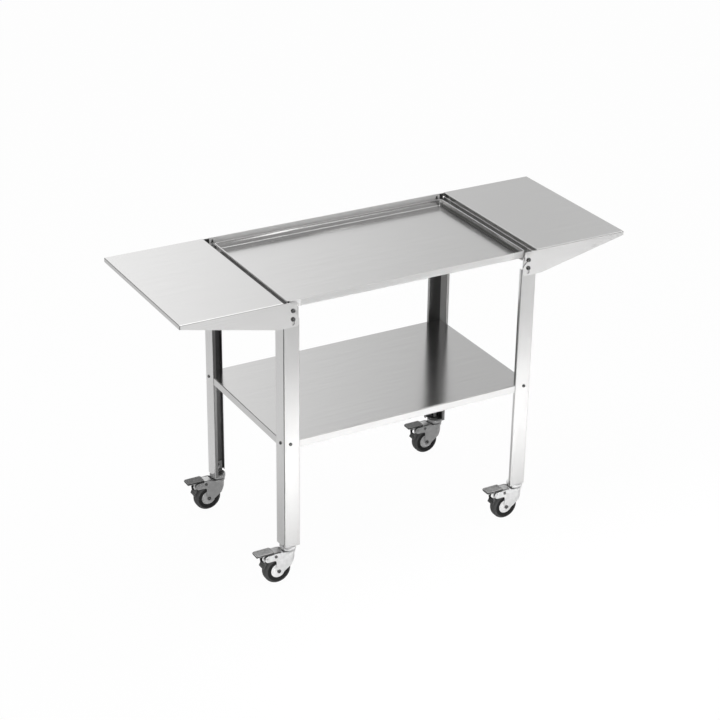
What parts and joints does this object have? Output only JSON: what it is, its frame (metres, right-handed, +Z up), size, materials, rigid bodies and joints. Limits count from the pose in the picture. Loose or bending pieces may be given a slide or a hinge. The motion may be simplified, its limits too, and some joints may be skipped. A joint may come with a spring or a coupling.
{
  "type": "grill cart",
  "caption": "Brushed steel grill cart with a recessed top tray, a lower shelf, fold-down side shelves on slotted hinges and swivel casters with pedal brakes.",
  "frame": {"origin": "on the floor under the middle of the cart", "axes": "+X along the length towards the right side shelf, -Y towards the front, +Z up"},
  "size_m": [1.36, 0.5008, 0.84],
  "materials": {
    "stainless_sheet": "brushed",
    "fastener_steel": "plain turned",
    "caster_steel": "zinc plated",
    "tyre_rubber": "satin",
    "hub_plastic": "satin",
    "pedal_plastic": "satin"
  },
  "bodies": {
    "frame": {"tray": "stainless_sheet", "rear_rail": "stainless_sheet", "left_side_rail": "stainless_sheet", "right_side_rail": "stainless_sheet", "lower_shelf": "stainless_sheet", "front_left_leg": "stainless_sheet", "front_left_caster_bracket": "caster_steel", "front_left_swivel_head": "caster_steel", "front_right_leg": "stainless_sheet", "front_right_caster_bracket": "caster_steel", "front_right_swivel_head": "caster_steel", "rear_left_leg": "stainless_sheet", "rear_left_caster_bracket": "caster_steel", "rear_left_swivel_head": "caster_steel", "rear_right_leg": "stainless_sheet", "rear_right_caster_bracket": "caster_steel", "rear_right_swivel_head": "caster_steel", "small_nuts": "fastener_steel", "stem_nuts": "fastener_steel", "lower_shelf_screws": "fastener_steel", "rear_rail_screws": "fastener_steel", "rail_rivets": "fastener_steel", "pivot_bolts": "fastener_steel", "lock_bolts": "fastener_steel", "lock_bushes": "fastener_steel", "hinge_washers": "fastener_steel", "hinge_nuts": "fastener_steel"},
    "left_hinge": {"left_pivot_bushes": "fastener_steel"},
    "left_shelf": {"left_side_shelf": "stainless_sheet"},
    "right_hinge": {"right_pivot_bushes": "fastener_steel"},
    "right_shelf": {"right_side_shelf": "stainless_sheet"},
    "front_left_swivel": {"front_left_fork": "caster_steel", "front_left_fork_pins": "fastener_steel", "front_left_swivel_balls": "caster_steel"},
    "front_left_wheel": {"front_left_wheel_hub": "hub_plastic", "front_left_tyre": "tyre_rubber"},
    "front_left_brake": {"front_left_brake_lever": "caster_steel", "front_left_pedal_tread": "pedal_plastic"},
    "front_right_swivel": {"front_right_fork": "caster_steel", "front_right_fork_pins": "fastener_steel", "front_right_swivel_balls": "caster_steel"},
    "front_right_wheel": {"front_right_wheel_hub": "hub_plastic", "front_right_tyre": "tyre_rubber"},
    "front_right_brake": {"front_right_brake_lever": "caster_steel", "front_right_pedal_tread": "pedal_plastic"},
    "rear_left_swivel": {"rear_left_fork": "caster_steel", "rear_left_fork_pins": "fastener_steel", "rear_left_swivel_balls": "caster_steel"},
    "rear_left_wheel": {"rear_left_wheel_hub": "hub_plastic", "rear_left_tyre": "tyre_rubber"},
    "rear_left_brake": {"rear_left_brake_lever": "caster_steel", "rear_left_pedal_tread": "pedal_plastic"},
    "rear_right_swivel": {"rear_right_fork": "caster_steel", "rear_right_fork_pins": "fastener_steel", "rear_right_swivel_balls": "caster_steel"},
    "rear_right_wheel": {"rear_right_wheel_hub": "hub_plastic", "rear_right_tyre": "tyre_rubber"},
    "rear_right_brake": {"rear_right_brake_lever": "caster_steel", "rear_right_pedal_tread": "pedal_plastic"}
  },
  "joints": [
    {"name": "left_shelf_fold", "type": "hinge", "parent": "frame", "child": "left_hinge", "pos_m": [-0.362, 0, 0.79], "axis": [0, -1, 0], "range_deg": [0, 90]},
    {"name": "left_shelf_lift", "type": "slide", "parent": "left_hinge", "child": "left_shelf", "axis": [0, 0, 1], "range_m": [0, 0.01305]},
    {"name": "right_shelf_fold", "type": "hinge", "parent": "frame", "child": "right_hinge", "pos_m": [0.362, 0, 0.79], "axis": [0, 1, 0], "range_deg": [0, 90]},
    {"name": "right_shelf_lift", "type": "slide", "parent": "right_hinge", "child": "right_shelf", "axis": [0, 0, 1], "range_m": [0, 0.01305]},
    {"name": "front_left_caster_swivel", "type": "hinge", "parent": "frame", "child": "front_left_swivel", "pos_m": [-0.37, -0.224, 0.094], "axis": [0, 0, 1], "continuous": true},
    {"name": "front_left_wheel_roll", "type": "hinge", "parent": "front_left_swivel", "child": "front_left_wheel", "pos_m": [-0.406, -0.224, 0.04], "axis": [0, 1, 0], "continuous": true},
    {"name": "front_left_brake_press", "type": "hinge", "parent": "front_left_swivel", "child": "front_left_brake", "pos_m": [-0.437, -0.224, 0.086], "axis": [0, -1, 0], "range_deg": [0, 8]},
    {"name": "front_right_caster_swivel", "type": "hinge", "parent": "frame", "child": "front_right_swivel", "pos_m": [0.37, -0.224, 0.094], "axis": [0, 0, 1], "continuous": true},
    {"name": "front_right_wheel_roll", "type": "hinge", "parent": "front_right_swivel", "child": "front_right_wheel", "pos_m": [0.334, -0.224, 0.04], "axis": [0, 1, 0], "continuous": true},
    {"name": "front_right_brake_press", "type": "hinge", "parent": "front_right_swivel", "child": "front_right_brake", "pos_m": [0.303, -0.224, 0.086], "axis": [0, -1, 0], "range_deg": [0, 8]},
    {"name": "rear_left_caster_swivel", "type": "hinge", "parent": "frame", "child": "rear_left_swivel", "pos_m": [-0.37, 0.224, 0.094], "axis": [0, 0, 1], "continuous": true},
    {"name": "rear_left_wheel_roll", "type": "hinge", "parent": "rear_left_swivel", "child": "rear_left_wheel", "pos_m": [-0.406, 0.224, 0.04], "axis": [0, 1, 0], "continuous": true},
    {"name": "rear_left_brake_press", "type": "hinge", "parent": "rear_left_swivel", "child": "rear_left_brake", "pos_m": [-0.437, 0.224, 0.086], "axis": [0, -1, 0], "range_deg": [0, 8]},
    {"name": "rear_right_caster_swivel", "type": "hinge", "parent": "frame", "child": "rear_right_swivel", "pos_m": [0.37, 0.224, 0.094], "axis": [0, 0, 1], "continuous": true},
    {"name": "rear_right_wheel_roll", "type": "hinge", "parent": "rear_right_swivel", "child": "rear_right_wheel", "pos_m": [0.334, 0.224, 0.04], "axis": [0, 1, 0], "continuous": true},
    {"name": "rear_right_brake_press", "type": "hinge", "parent": "rear_right_swivel", "child": "rear_right_brake", "pos_m": [0.303, 0.224, 0.086], "axis": [0, -1, 0], "range_deg": [0, 8]}
  ],
  "couplings": [
    {"joint": "left_shelf_lift", "follows": "left_shelf_fold", "m_per_rad": 0.0082761},
    {"joint": "right_shelf_lift", "follows": "right_shelf_fold", "m_per_rad": 0.0082761}
  ]
}
